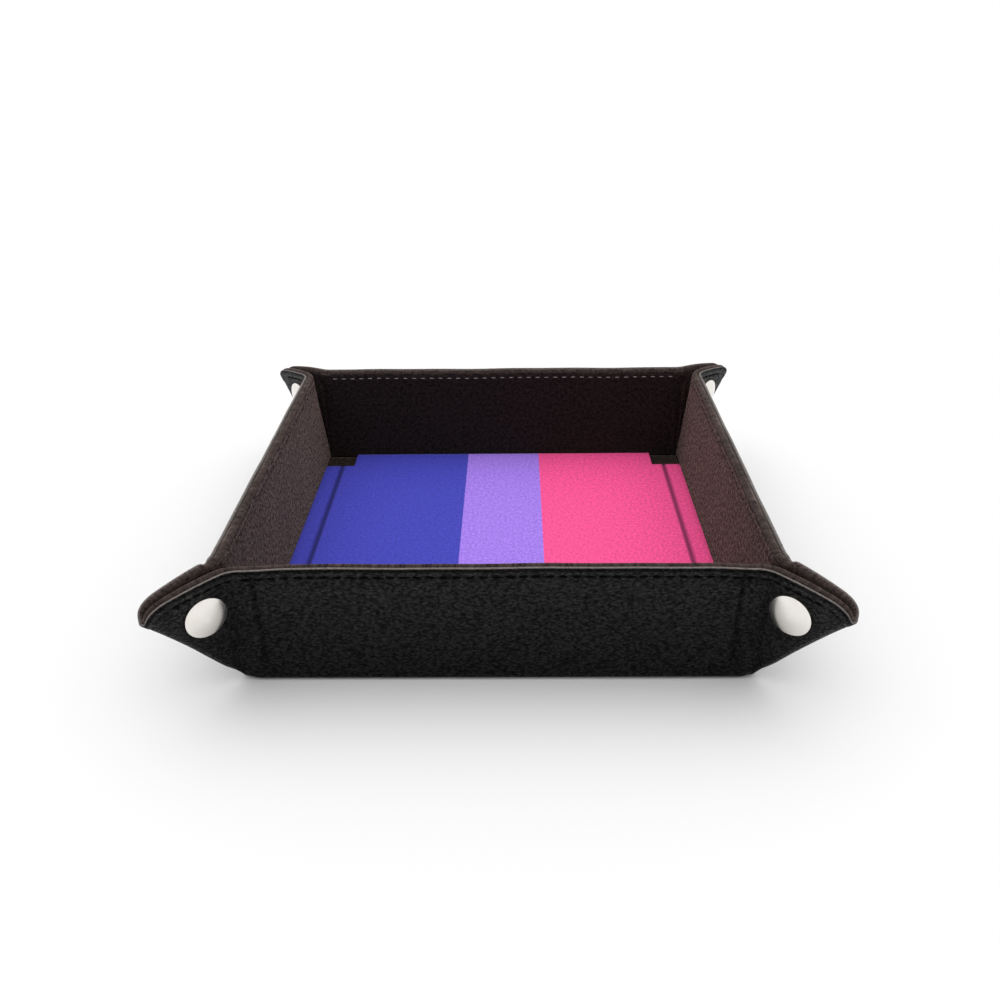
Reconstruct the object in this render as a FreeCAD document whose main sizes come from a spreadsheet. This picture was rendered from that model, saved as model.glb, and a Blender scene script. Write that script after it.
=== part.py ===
import FreeCAD, Part
import math
import os
import Sketcher

# Folding dice tray: a square sheet of leatherette lined with velvet, stiffened by boards in its
# base and four walls. Snap fasteners pinch each boardless corner into an outward ear, which
# holds the walls up. With the snaps open, the whole tray lies flat.
#
# Millimetres, +Z up. The origin is the middle of the base, on the surface that the tray stands on.
# Every crease lies in one reference sheet, fold_height above the outer face of the leatherette,
# and the four wall folds meet in pairs at the corners (+-fold_half, +-fold_half, fold_height).
# Each panel has its own axes: X and Y lie in the reference sheet, with Y up the panel away from
# its fold, and Z points to the lining side.

SIZES = {
    # the sheet and its folds
    "fold_half": 81.5,        # middle of the base to each wall fold
    "fold_height": 2.5,       # reference sheet above the outer face of the leatherette
    "wall_slant": 42.0,       # fold to rim, along the wall
    "wall_lean": 6.0,         # degrees that each wall leans out from upright
    "corner_clip": 17.0,      # leg of the chamfer that cuts off each corner of the sheet
    # thickness of each layer
    "leather": 1.0,
    "lining": 0.8,
    "base_board": 2.0,
    "wall_board": 1.9,
    "mat": 1.2,
    # gaps beside the folds, so that each panel turns freely
    "fold_gap": 0.1,          # leatherette beside a fold whose outer side is convex
    "crease_gap": 1.3,        # panels beside the wall-to-ear crease, where the leatherette closes
    "inner_gap": 1.5,         # base lining and mat, inside the standing walls
    "board_inset": 4.0,       # boards stop short of every fold
    "wall_lining_gap": 0.3,
    # rim
    "hem": 1.0,               # leatherette turned over the top of a wall board
    "hem_reach": 1.8,
    "lining_drop": 0.2,       # lining below the rim
    "ear_lining_drop": 0.4,
    "stitch_drop": 3.6,       # stitching below the rim
    "stitch_pitch": 4.0,
    "stitch_length": 2.7,
    "thread": 0.4,            # height of a stitch above the surface
    "thread_width": 0.6,
    # floor mat
    "mat_notch": 12.5,        # square cut-out at each corner of the mat
    # snap fasteners, placed on an ear half from its wall crease and along it
    "snap_out": 10.5,
    "snap_up": 29.6,
    "cap_radius": 6.75,
    "cap_height": 2.2,
    "cap_rim": 0.7,           # straight edge of the domed cap
    "cap_hollow": 0.4,        # hollow under the dome, beside the post
    "post_radius": 1.8,
    "post_fit": 0.05,         # radial gap round the post
    "socket_radius": 5.6,
    "socket_mouth": 3.0,
    "socket_height": 1.3,
    "flange": 0.45,           # riveted plate of the socket and of the stud
    "stud_flange_radius": 4.8,
    "stud_neck_radius": 1.95,
    "stud_head_radius": 2.3,
    "stud_height": 3.3,
    # the soft fold strips
    "ear_fold_start": 3.0,    # from the corner of the base, along the ear's fold
}

SIDES = {"front": (0, -1), "rear": (0, 1), "left": (-1, 0), "right": (1, 0)}
CORNERS = (("front", "left"), ("front", "right"), ("rear", "left"), ("rear", "right"))
UP = FreeCAD.Vector(0, 0, 1)

doc = FreeCAD.newDocument("folding_dice_tray")
sheet = doc.addObject("Spreadsheet::Sheet", "Sizes")
nodes = []


def fill_sheet():
    for row, (alias, value) in enumerate(SIZES.items(), start=1):
        sheet.set("A%d" % row, alias)
        sheet.set("B%d" % row, str(value))
        sheet.setAlias("B%d" % row, alias)
    doc.recompute()


def size(expression):
    """The value in millimetres or degrees of an expression in the sheet's names."""
    return float(sheet.evalExpression(expression))


def in_sheet(expression):
    """The same expression as seen from another object of the document."""
    for alias in sorted(SIZES, key=len, reverse=True):
        expression = expression.replace("<%s>" % alias, "Sizes." + alias)
    return expression


def local(expression):
    return expression.replace("<", "").replace(">", "")


# ---------------------------------------------------------------- building blocks


def new_body(label):
    body = doc.addObject("PartDesign::Body", label)
    body.Label = label
    nodes.append(body)
    return body


def origin_plane(body, role):
    for feature in body.Origin.OriginFeatures:
        if feature.Role == role:
            return feature


def bind_point(sketch, geometry, end, x, y):
    """Fixes one point of a sketch at two expressions from the sketch's origin."""
    for kind, expression in (("DistanceX", x), ("DistanceY", y)):
        value = size(local(expression))
        index = sketch.addConstraint(Sketcher.Constraint(kind, -1, 1, geometry, end, value))
        sketch.setExpression("Constraints[%d]" % index, in_sheet(expression))


def outline(body, name, plane, points, lift="0", hole=None, dome=None):
    """A closed sketch through points, each a pair of expressions.

    hole is (x, y, radius). dome is the index of an edge that is an arc centred on the Y axis.
    """
    sketch = body.newObject("Sketcher::SketchObject", name)
    sketch.AttachmentSupport = (origin_plane(body, plane), [""])
    sketch.MapMode = "FlatFace"
    sketch.AttachmentOffset = FreeCAD.Placement(FreeCAD.Vector(0, 0, size(local(lift))), FreeCAD.Rotation())
    sketch.setExpression("AttachmentOffset.Base.z", in_sheet(lift))
    places = [FreeCAD.Vector(size(local(x)), size(local(y)), 0) for x, y in points]
    count = len(points)
    for i in range(count):
        first, second = places[i], places[(i + 1) % count]
        edge = dome_arc(first, second) if i == dome else Part.LineSegment(first, second)
        sketch.addGeometry(edge)
    for i in range(count):
        sketch.addConstraint(Sketcher.Constraint("Coincident", i, 2, (i + 1) % count, 1))
    if dome is not None:
        sketch.addConstraint(Sketcher.Constraint("PointOnObject", dome, 3, -2))
    for i, (x, y) in enumerate(points):
        bind_point(sketch, i, 1, x, y)
    if hole:
        x, y, radius = hole
        centre = FreeCAD.Vector(size(local(x)), size(local(y)), 0)
        circle = sketch.addGeometry(Part.Circle(centre, FreeCAD.Vector(0, 0, 1), size(local(radius))))
        bind_point(sketch, circle, 3, x, y)
        index = sketch.addConstraint(Sketcher.Constraint("Radius", circle, size(local(radius))))
        sketch.setExpression("Constraints[%d]" % index, in_sheet(radius))
    return sketch


def dome_arc(low, top):
    """The arc from a low point up to the Y axis, with its centre on that axis."""
    drop = top.y - low.y
    radius = (low.x ** 2 + drop ** 2) / (2 * drop)
    centre = FreeCAD.Vector(0, top.y - radius, 0)
    start = math.atan2(low.y - centre.y, low.x)
    circle = Part.Circle(centre, FreeCAD.Vector(0, 0, 1), radius)
    return Part.ArcOfCircle(circle, start, math.pi / 2)


def plate(label, points, bottom, thickness, placement, hole=None):
    """A flat layer: an outline in the panel's own XY plane, padded towards the lining side."""
    body = new_body(label)
    sketch = outline(body, label + "_outline", "XY_Plane", points, bottom, hole)
    pad = body.newObject("PartDesign::Pad", label + "_pad")
    pad.Profile = sketch
    pad.setExpression("Length", in_sheet(thickness))
    body.Placement = placement
    return body


def turned(label, points, placement, dome=None):
    """A round piece: an outline of (radius, height) points turned about the panel's Z axis."""
    body = new_body(label)
    sketch = outline(body, label + "_outline", "XZ_Plane", points, dome=dome)
    turn = body.newObject("PartDesign::Revolution", label + "_turn")
    turn.Profile = sketch
    turn.ReferenceAxis = (sketch, ["V_Axis"])
    turn.Angle = 360
    body.Placement = placement
    return body


def rectangle(half_width, low, high):
    return [("-(%s)" % half_width, low), (half_width, low), (half_width, high), ("-(%s)" % half_width, high)]


def frame_placement(origin, x_axis, y_axis, z_axis):
    matrix = FreeCAD.Matrix(
        x_axis.x, y_axis.x, z_axis.x, origin.x,
        x_axis.y, y_axis.y, z_axis.y, origin.y,
        x_axis.z, y_axis.z, z_axis.z, origin.z,
        0, 0, 0, 1)
    return FreeCAD.Placement(matrix)


# ---------------------------------------------------------------- where each panel stands


def outward(side):
    x, y = SIDES[side]
    return FreeCAD.Vector(x, y, 0)


def slant_direction(side):
    """Up the wall, from its fold to its rim."""
    lean = math.radians(size("wall_lean"))
    return outward(side) * math.sin(lean) + UP * math.cos(lean)


def wall_placement(side):
    lean = math.radians(size("wall_lean"))
    y_axis = slant_direction(side)
    z_axis = UP * math.sin(lean) - outward(side) * math.cos(lean)
    origin = outward(side) * size("fold_half") + UP * size("fold_height")
    return frame_placement(origin, y_axis.cross(z_axis), y_axis, z_axis)


def corner_point(first, second):
    return (outward(first) + outward(second)) * size("fold_half") + UP * size("fold_height")


def ear_fold_direction(first, second):
    """Along the ear's own fold: 45 degrees, in the sheet, from the end of either wall."""
    sine = math.sin(math.radians(size("wall_lean")))
    cosine = math.cos(math.radians(size("wall_lean")))
    half = math.sqrt(0.5)
    square = 2 * cosine ** 2 + sine ** 2
    across = (half * sine + math.sqrt((half * sine) ** 2 - square * (half ** 2 - cosine ** 2))) / square
    rise = (half - across * sine) / cosine
    return (outward(first) + outward(second)) * across + UP * rise


def ear_half_placement(side, other):
    """Axes of the ear half beside one wall, and the hand of its outline.

    Y runs up the crease beside the wall. X lies in the half, away from the wall when hand is 1.
    """
    crease = slant_direction(side)
    away = (ear_fold_direction(side, other) - crease * math.sqrt(0.5)) * math.sqrt(2)
    hand = 1 if away.cross(crease).dot(outward(other)) > 0 else -1
    x_axis = away * hand
    return frame_placement(corner_point(side, other), x_axis, crease, x_axis.cross(crease)), hand


# ---------------------------------------------------------------- base


def make_base():
    level = FreeCAD.Placement(FreeCAD.Vector(0, 0, size("fold_height")), FreeCAD.Rotation())
    cover = "<fold_half> - <fold_gap>"
    board = "<fold_half> - <board_inset>"
    inner = "<fold_half> - <inner_gap>"
    leather_top = "<leather> - <fold_height>"
    board_top = leather_top + " + <base_board>"
    lining_top = board_top + " + <lining>"
    plate("base_cover", rectangle(cover, "-(%s)" % cover, cover), "-<fold_height>", "<leather>", level)
    plate("base_board", rectangle(board, "-(%s)" % board, board), leather_top, "<base_board>", level)
    plate("base_lining", rectangle(inner, "-(%s)" % inner, inner), board_top, "<lining>", level)
    notch = inner + " - <mat_notch>"
    quarter = [(notch, inner), (notch, notch), (inner, notch)]
    points = []
    for sign_x, sign_y in ((1, 1), (1, -1), (-1, -1), (-1, 1)):
        step = quarter if sign_x == sign_y else quarter[::-1]
        for x, y in step:
            points.append((signed(sign_x, x), signed(sign_y, y)))
    plate("floor_mat", points, lining_top, "<mat>", level)


def signed(sign, expression):
    return expression if sign > 0 else "-(%s)" % expression


# ---------------------------------------------------------------- walls


def make_wall(side):
    placement = wall_placement(side)
    leather_top = "<leather> - <fold_height>"
    board_top = leather_top + " + <wall_board>"
    half = "<fold_half> - <crease_gap>"
    cover = new_body(side + "_wall_cover")
    hem_low = "<wall_slant> - <hem>"
    hem_top = leather_top + " + <hem_reach>"
    profile = outline(cover, side + "_wall_cover_profile", "YZ_Plane", [
        ("<fold_gap>", "-<fold_height>"), ("<wall_slant>", "-<fold_height>"),
        ("<wall_slant>", hem_top), (hem_low, hem_top),
        (hem_low, leather_top), ("<fold_gap>", leather_top)])
    pad = cover.newObject("PartDesign::Pad", side + "_wall_cover_pad")
    pad.Profile = profile
    pad.Midplane = True
    pad.setExpression("Length", in_sheet("2 * (%s)" % half))
    cover.Placement = placement
    board_points = rectangle("<fold_half> - <board_inset>", "<board_inset>", hem_low)
    plate(side + "_wall_board", board_points, leather_top, "<wall_board>", placement)
    lining_points = rectangle(half, "<wall_lining_gap>", "<wall_slant> - <lining_drop>")
    plate(side + "_wall_lining", lining_points, board_top, "<lining>", placement)
    make_hinge_strip(side)
    make_rim_thread(side, placement)


def make_rim_thread(side, placement):
    """The stitches that show on the two faces of a wall, as one run of thread."""
    run = 2 * size("fold_half - board_inset") - size("stitch_pitch")
    count = int(run / size("stitch_pitch")) + 1
    first = -size("stitch_pitch") * (count - 1) / 2 - size("stitch_length") / 2
    lining_top = size("leather - fold_height + wall_board + lining")
    stitches = []
    for height in (-size("fold_height + thread"), lining_top):
        for i in range(count):
            corner = FreeCAD.Vector(
                first + i * size("stitch_pitch"), size("wall_slant - stitch_drop"), height)
            stitches.append(Part.makeBox(size("stitch_length"), size("thread_width"), size("thread"), corner))
    thread = doc.addObject("Part::Feature", side + "_rim_thread")
    thread.Label = side + "_rim_thread"
    thread.Shape = Part.makeCompound(stitches)
    thread.Placement = placement
    nodes.append(thread)


def leather_bend(label, length, angle, placement):
    """Leatherette bent round a fold: part of a ring, standing on its own XY plane."""
    outer = doc.addObject("Part::Cylinder", label + "_outer")
    outer.setExpression("Radius", "Sizes.fold_height")
    inner = doc.addObject("Part::Cylinder", label + "_inner")
    inner.setExpression("Radius", "Sizes.fold_height - Sizes.leather")
    for cylinder in (outer, inner):
        cylinder.setExpression("Height", in_sheet(length))
        cylinder.setExpression("Angle", in_sheet(angle))
    bend = doc.addObject("Part::Cut", label)
    bend.Label = label
    bend.Base = outer
    bend.Tool = inner
    bend.Placement = placement
    nodes.append(bend)


def make_hinge_strip(side):
    """The leatherette between the base and a wall, from straight down to the wall's outer face."""
    half = size("fold_half - crease_gap")
    along = UP.cross(outward(side))
    origin = outward(side) * size("fold_half") + UP * size("fold_height") - along * (-half)
    placement = frame_placement(origin, UP * -1, outward(side), along * -1)
    leather_bend(side + "_hinge_strip", "2 * (<fold_half> - <crease_gap>)", "90 - <wall_lean>", placement)


# ---------------------------------------------------------------- corner ears


def ear_outline(hand, rim_drop):
    """One ear half: wall crease, rim, clipped corner of the sheet, ear fold."""
    slope = "<fold_gap> * sqrt(2)"
    rim = "<wall_slant> - " + rim_drop
    clip = "(2 * <wall_slant> - <corner_clip> - %s)" % rim_drop
    points = [
        ("<crease_gap>", "<crease_gap> + " + slope),
        ("<crease_gap>", rim),
        (clip + " - (%s)" % rim, rim),
        ("(%s - %s) / 2" % (clip, slope), "(%s + %s) / 2" % (clip, slope)),
    ]
    return [(signed(hand, x), y) for x, y in points]


def make_ear_half(side, other):
    name = "%s_%s_ear_%s" % (*corner_order(side, other), side)
    placement, hand = ear_half_placement(side, other)
    hole = (signed(hand, "<snap_out>"), "<snap_up>", "<post_radius> + <post_fit>")
    leather_top = "<leather> - <fold_height>"
    plate(name + "_cover", ear_outline(hand, "0"), "-<fold_height>", "<leather>", placement, hole)
    plate(name + "_lining", ear_outline(hand, "<ear_lining_drop>"), leather_top, "<lining>", placement, hole)
    centre = FreeCAD.Vector(hand * size("snap_out"), size("snap_up"), 0)
    return placement, centre


def corner_order(side, other):
    return (side, other) if side in ("front", "rear") else (other, side)


def snap_placement(ear, centre, height):
    """On an ear half at a height along its Z."""
    return ear.multiply(FreeCAD.Placement(centre + UP * height, FreeCAD.Rotation()))


def make_cap(label, ear, centre):
    """Domed cap outside the leatherette, with the post that is riveted through the ear."""
    outside = FreeCAD.Rotation(FreeCAD.Vector(1, 0, 0), 180)
    seat = FreeCAD.Placement(centre - UP * size("fold_height"), outside)
    sheet_depth = "-(<leather> + <lining> + <flange>)"
    turned(label, [
        ("0", sheet_depth), ("<post_radius>", sheet_depth), ("<post_radius>", "<cap_hollow>"),
        ("<cap_radius> - <cap_rim>", "<cap_hollow>"), ("<cap_radius> - <cap_rim>", "0"),
        ("<cap_radius>", "0"), ("<cap_radius>", "<cap_rim>"), ("0", "<cap_height>")],
        ear.multiply(seat), dome=6)


def make_socket(label, ear, centre):
    """Ring on the lining, with a mouth that takes the stud."""
    bore = "<post_radius> + <post_fit>"
    turned(label, [
        (bore, "0"), ("<socket_radius>", "0"), ("<socket_radius>", "<socket_height>"),
        ("<socket_mouth>", "<socket_height>"), ("<socket_mouth>", "<flange>"), (bore, "<flange>")],
        snap_placement(ear, centre, size("leather + lining - fold_height")))


def make_stud(label, ear, centre):
    """Flange on the lining, with a necked knob that snaps into the socket."""
    bore = "<post_radius> + <post_fit>"
    roof = "<flange> + <post_fit>"
    turned(label, [
        (bore, "0"), ("<stud_flange_radius>", "0"), ("<stud_flange_radius>", "<flange>"),
        ("<stud_neck_radius>", "<flange>"), ("<stud_neck_radius>", "<stud_height> * 0.6"),
        ("<stud_head_radius>", "<stud_height> * 0.8"), ("<stud_neck_radius>", "<stud_height>"),
        ("0", "<stud_height>"), ("0", roof), (bore, roof)],
        snap_placement(ear, centre, size("leather + lining - fold_height")))


def make_ear_fold(first, second):
    """The leatherette bent round the ear's fold, from one ear half to the other."""
    along = ear_fold_direction(first, second)
    crease = slant_direction(first)
    inward = crease.cross(along) * (1 / crease.cross(along).Length)
    if inward.dot(outward(second)) < 0:
        inward = inward * -1
    start_normal = inward * -1
    origin = corner_point(first, second) + along * size("ear_fold_start")
    turn_axis = along
    y_axis = turn_axis.cross(start_normal)
    if y_axis.dot(crease) > 0:
        # the ring turns the other way, from the far end of the fold
        origin = corner_point(first, second) + along * size("(wall_slant - corner_clip / 2) * sqrt(2)")
        turn_axis = along * -1
        y_axis = turn_axis.cross(start_normal)
    placement = frame_placement(origin, start_normal, y_axis, turn_axis)
    length = "(<wall_slant> - <corner_clip> / 2) * sqrt(2) - <ear_fold_start>"
    leather_bend("%s_%s_ear_fold" % (first, second), length, "180 - 2 * <wall_lean>", placement)


def make_corner(first, second):
    """first is the front or rear wall, second the left or right wall."""
    corner = "%s_%s" % (first, second)
    ear, centre = make_ear_half(first, second)
    make_cap("%s_snap_cap_%s" % (corner, first), ear, centre)
    make_socket(corner + "_snap_socket", ear, centre)
    ear, centre = make_ear_half(second, first)
    make_cap("%s_snap_cap_%s" % (corner, second), ear, centre)
    make_stud(corner + "_snap_stud", ear, centre)
    make_ear_fold(first, second)


# ---------------------------------------------------------------- checks and files


def check_document():
    for item in doc.Objects:
        if "Invalid" in item.State or "Error" in item.State:
            raise RuntimeError("%s did not recompute: %s" % (item.Label, item.State))
    for node in nodes:
        if node.Shape.isNull() or not node.Shape.isValid() or node.Shape.Volume <= 0:
            raise RuntimeError("%s has no valid shape" % node.Label)


def write_files():
    os.makedirs("parts", exist_ok=True)
    for node in nodes:
        node.Shape.exportStep("parts/%s.step" % node.Label)


fill_sheet()
make_base()
for wall in SIDES:
    make_wall(wall)
for corner_walls in CORNERS:
    make_corner(*corner_walls)
doc.recompute()
check_document()
write_files()
print("%d nodes" % len(nodes))
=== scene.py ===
import math

import bmesh
import bpy
import numpy as np
from mathutils import Matrix, Vector


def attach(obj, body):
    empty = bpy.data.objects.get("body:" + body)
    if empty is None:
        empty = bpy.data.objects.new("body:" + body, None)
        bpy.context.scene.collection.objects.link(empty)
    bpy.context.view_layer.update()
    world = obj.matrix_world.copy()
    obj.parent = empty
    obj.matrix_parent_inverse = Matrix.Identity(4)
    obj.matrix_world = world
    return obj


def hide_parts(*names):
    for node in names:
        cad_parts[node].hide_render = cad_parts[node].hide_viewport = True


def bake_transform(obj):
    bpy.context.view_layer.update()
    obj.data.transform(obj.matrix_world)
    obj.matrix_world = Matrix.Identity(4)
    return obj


# Folding dice tray: the leatherette skin, the velvet lining, the printed mat and the stitching,
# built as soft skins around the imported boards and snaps. Lengths are in millimetres until a mesh
# is made. Every skin is a set of columns: each runs from a point on the edge of the sheet down to
# the base, and has the sheet's lining-side normal at its top.

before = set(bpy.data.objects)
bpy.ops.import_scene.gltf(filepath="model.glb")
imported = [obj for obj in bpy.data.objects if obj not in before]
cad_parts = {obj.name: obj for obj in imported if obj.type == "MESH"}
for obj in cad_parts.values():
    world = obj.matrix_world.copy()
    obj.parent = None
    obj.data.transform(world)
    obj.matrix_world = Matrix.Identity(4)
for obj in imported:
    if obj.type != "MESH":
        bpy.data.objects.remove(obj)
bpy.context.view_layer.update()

# ---------------------------------------------------------------- sizes

FOLD = 81.5              # middle of the base to each wall fold
HEIGHT = 2.5             # folds above the table, and leatherette outside the reference sheet
SLANT = 42.0             # fold to rim
LEAN = math.radians(6.0)
BOARD_END = 4.0          # boards stop this far from the corner
PRESSED_END = 7.3        # pressed line beside each end of a wall, from the corner
CREASE_RADIUS = 10.7     # bend between wall and ear, at the rim
EAR_RIM = 25.0           # rim of an ear half
EAR_FOLD = 33.5          # corner to the end of the ear's fold, along either side of the sheet
CLIP_LENGTH = math.hypot(EAR_FOLD - EAR_RIM, SLANT - EAR_FOLD)
RIM_SAG = (-2.2, -1.6)   # how far the soft ear's rim leaves the flat one at its end: outward, up
FOLD_LIFT = (-6.5, 3.2)  # the same at the end of the ear's fold
TIP_BULGE = 1.5          # outward swelling of the edge between those two ends
RIM_STEP, RIM_STEP_AT, RIM_STEP_WIDTH = 1.0, 2.2, 1.5    # dip where a side wall's rim meets its front ear
RIM_RISE = {"front": 0.75}     # the rim stands this much higher between the wall's ends
FOLD_BOW = 0.75          # outward swelling along the ear's fold
CORNER_ROUND = 3.4       # corners of the base, seen from below
LINING_FLOOR = 1.3       # base lining above the folds
LINING_FACE = 1.2        # wall lining inside the reference sheet
STITCH_DROP, STITCH_PITCH = 3.4, 4.0     # below the rim, and from stitch to stitch
STITCH_LENGTH, STITCH_THICK = 2.7, 0.36  # one stitch, and half its thickness
MAT_HALF, MAT_TOP, MAT_NOTCH, MAT_GROOVE = 80.1, 5.0, 12.5, 7.2      # the groove is this far from the edge
WRINKLE_HEIGHT = 0.34    # creases where an ear leaves its wall
SHEET_UV = 250.0         # millimetres of flat sheet to one unit of UV

# rows of a skin, by depth below the rim; the last row of a band is where the face begins
CLOSE_COLUMNS = 12       # a wall's columns stand closer together over this length at each end
HEM_ROWS = (3.0, 2.0)
ROLL_ROWS = 9
LEATHER_BAND = np.array([1.5, 2.0, 2.5, 2.9, 3.2, 3.4, 3.6, 3.9, 4.4, 5.0])
LINING_BAND = np.array([1.4, 2.2, 3.0, 3.4, 3.8, 4.4, 5.2])
FIRST_FACE_ROW = len(HEM_ROWS) + ROLL_ROWS
STITCH_ROW = FIRST_FACE_ROW + 5
BEND_RUN = 3.7           # length on the flat sheet of the bend under the base
TUCK_RISE = 0.04         # the leatherette's last row above the table

UP = np.array([0.0, 0.0, 1.0])
OUT = {"front": np.array([0.0, -1.0, 0.0]), "rear": np.array([0.0, 1.0, 0.0]),
       "left": np.array([-1.0, 0.0, 0.0]), "right": np.array([1.0, 0.0, 0.0])}
# the walls whose ear halves meet at each corner; the crease at the second wall is the open pivot
CORNERS = {"front_left": ("front", "left"), "front_right": ("front", "right"),
           "rear_left": ("left", "rear"), "rear_right": ("right", "rear")}
RUNS_TOWARD = {"front": "right", "rear": "right", "left": "rear", "right": "rear"}     # a wall's columns


def unit(v):
    return v / np.linalg.norm(v, axis=-1, keepdims=True)


def ease(x, low, high):
    t = np.clip((x - low) / (high - low), 0, 1)
    return t * t * (3 - 2 * t)


# ---------------------------------------------------------------- meshes


def mesh_piece(name, grids, material):
    """One object from grids of (points, uv, outward): points is (columns, rows, 3) in mm."""
    verts, faces, uvs, offset = [], [], [], 0
    for points, uv, outward in grids:
        n, m = points.shape[:2]
        verts.append(points.reshape(-1, 3) * 0.001)
        uvs.append(uv.reshape(-1, 2))
        across = np.cross(points[1:, :-1] - points[:-1, :-1], points[:-1, 1:] - points[:-1, :-1])
        flip = (across * outward[:-1, None, :]).sum() < 0
        i, j = np.meshgrid(np.arange(n - 1), np.arange(m - 1), indexing="ij")
        a = (offset + i * m + j).ravel()
        quad = np.stack([a, a + m, a + m + 1, a + 1], axis=1)
        faces.append(quad[:, ::-1] if flip else quad)
        offset += n * m
    verts, faces, uvs = np.concatenate(verts), np.concatenate(faces), np.concatenate(uvs)
    mesh = bpy.data.meshes.new(name)
    mesh.from_pydata(verts.tolist(), [], faces.tolist())
    layer = mesh.uv_layers.new(name="sheet")
    index = np.zeros(len(mesh.loops), int)
    mesh.loops.foreach_get("vertex_index", index)
    layer.data.foreach_set("uv", uvs[index].astype(np.float32).ravel())
    bm = bmesh.new()
    bm.from_mesh(mesh)
    bmesh.ops.remove_doubles(bm, verts=bm.verts, dist=2e-6)
    bmesh.ops.dissolve_degenerate(bm, edges=bm.edges, dist=1e-7)
    bm.to_mesh(mesh)
    bm.free()
    mesh.shade_smooth()
    mesh.materials.append(material)
    piece = bpy.data.objects.new(name, mesh)
    bpy.context.scene.collection.objects.link(piece)
    return piece


# ---------------------------------------------------------------- columns


def wall_axes(side):
    """Up the wall, and its lining-side normal."""
    return (OUT[side] * math.sin(LEAN) + UP * math.cos(LEAN),
            UP * math.sin(LEAN) - OUT[side] * math.cos(LEAN))


def corner_point(a, b):
    return (OUT[a] + OUT[b]) * FOLD + UP * HEIGHT


def ear_direction(a, b):
    """Away from the crease and square to it, in the ear half beside wall a."""
    sine, cosine, half = math.sin(LEAN), math.cos(LEAN), math.sqrt(0.5)
    square = 2 * cosine ** 2 + sine ** 2
    root = math.sqrt((half * sine) ** 2 - square * (half ** 2 - cosine ** 2))
    across = (half * sine + root) / square
    fold = (OUT[a] + OUT[b]) * across + UP * ((half - across * sine) / cosine)
    return (fold - wall_axes(a)[0] * half) * math.sqrt(2)


def join(*parts):
    return {key: np.concatenate([p[key] for p in parts]) for key in parts[0]}


def part_of(columns, first, last):
    return {key: value[first:last] for key, value in columns.items()}


def backwards(columns):
    return {key: value[::-1] for key, value in columns.items()}


def wall_columns(side, toward):
    """The stiff part of a wall, between its board ends, running in one direction."""
    up, inner = wall_axes(side)
    end = FOLD - BOARD_END
    close = end - np.arange(0, CLOSE_COLUMNS, 0.5)
    x = np.concatenate([-close, np.linspace(CLOSE_COLUMNS - end, end - CLOSE_COLUMNS, 66), close[::-1]])
    n = len(x)
    base = OUT[side] * FOLD + UP * HEIGHT + x[:, None] * OUT[toward]
    wobble = 0.10 * np.sin(x / 11.0 + 2.0 * OUT[side][0]) + 0.06 * np.sin(x / 4.9 + OUT[side][1])
    wobble = (wobble + RIM_RISE.get(side, 0)) * (1 - ease(np.abs(x), end - 16, end))
    flat = OUT[side][:2] * FOLD + x[:, None] * OUT[toward][:2]
    return {
        "top": base + up * (SLANT + wobble)[:, None],
        "normal": np.repeat(inner[None], n, 0),
        "base": base,
        "base_out": np.repeat(-inner[None], n, 0),
        "floor": base + inner * LINING_FACE + up * LINING_FLOOR,
        "flat_top": flat + OUT[side][:2] * SLANT,
        "flat_base": flat,
        "along": np.abs(x) - FOLD,
        "x": x,
        "soft": np.zeros(n),
        "fold": np.zeros(n),
        "bow": np.zeros((n, 3)),
    }


def sheet_edge(a, b, path):
    """The reference sheet's edge, from the rim beside wall a to the end of the ear's fold."""
    up, inner = wall_axes(a)
    away = ear_direction(a, b)
    share = np.clip((path - EAR_RIM) / CLIP_LENGTH, 0, 1)
    s = np.where(path <= EAR_RIM, path, EAR_RIM + share * (EAR_FOLD - EAR_RIM))
    t = SLANT - share * (SLANT - EAR_FOLD)
    turn = math.acos(float(OUT[b] @ away))
    radius = CREASE_RADIUS * t / SLANT
    reach = radius * math.tan(turn / 2)
    angle = (turn * np.clip((s + reach) / (2 * reach), 0, 1))[:, None]
    arc = -OUT[b] * reach[:, None] - inner * radius[:, None]
    arc = arc + radius[:, None] * (np.cos(angle) * inner + np.sin(angle) * OUT[b])
    bent = np.where((s < -reach)[:, None], OUT[b] * s[:, None],
                    np.where((s > reach)[:, None], away * s[:, None], arc))
    outward = unit(OUT[a] + OUT[b])
    rim = outward * RIM_SAG[0] + UP * RIM_SAG[1]
    end = outward * FOLD_LIFT[0] + UP * FOLD_LIFT[1]
    ratio = (np.clip(path, 0, EAR_RIM) / EAR_RIM)[:, None] ** 2
    bulge = outward * (4 * TIP_BULGE * share * (1 - share))[:, None]
    soft = rim * ratio + (end - rim) * share[:, None] + bulge
    if b == "front":
        soft = soft - np.outer(RIM_STEP * np.exp(-((path - RIM_STEP_AT) / RIM_STEP_WIDTH) ** 2), UP)
    return corner_point(a, b) + up * t[:, None] + bent + soft, s, t


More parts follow.
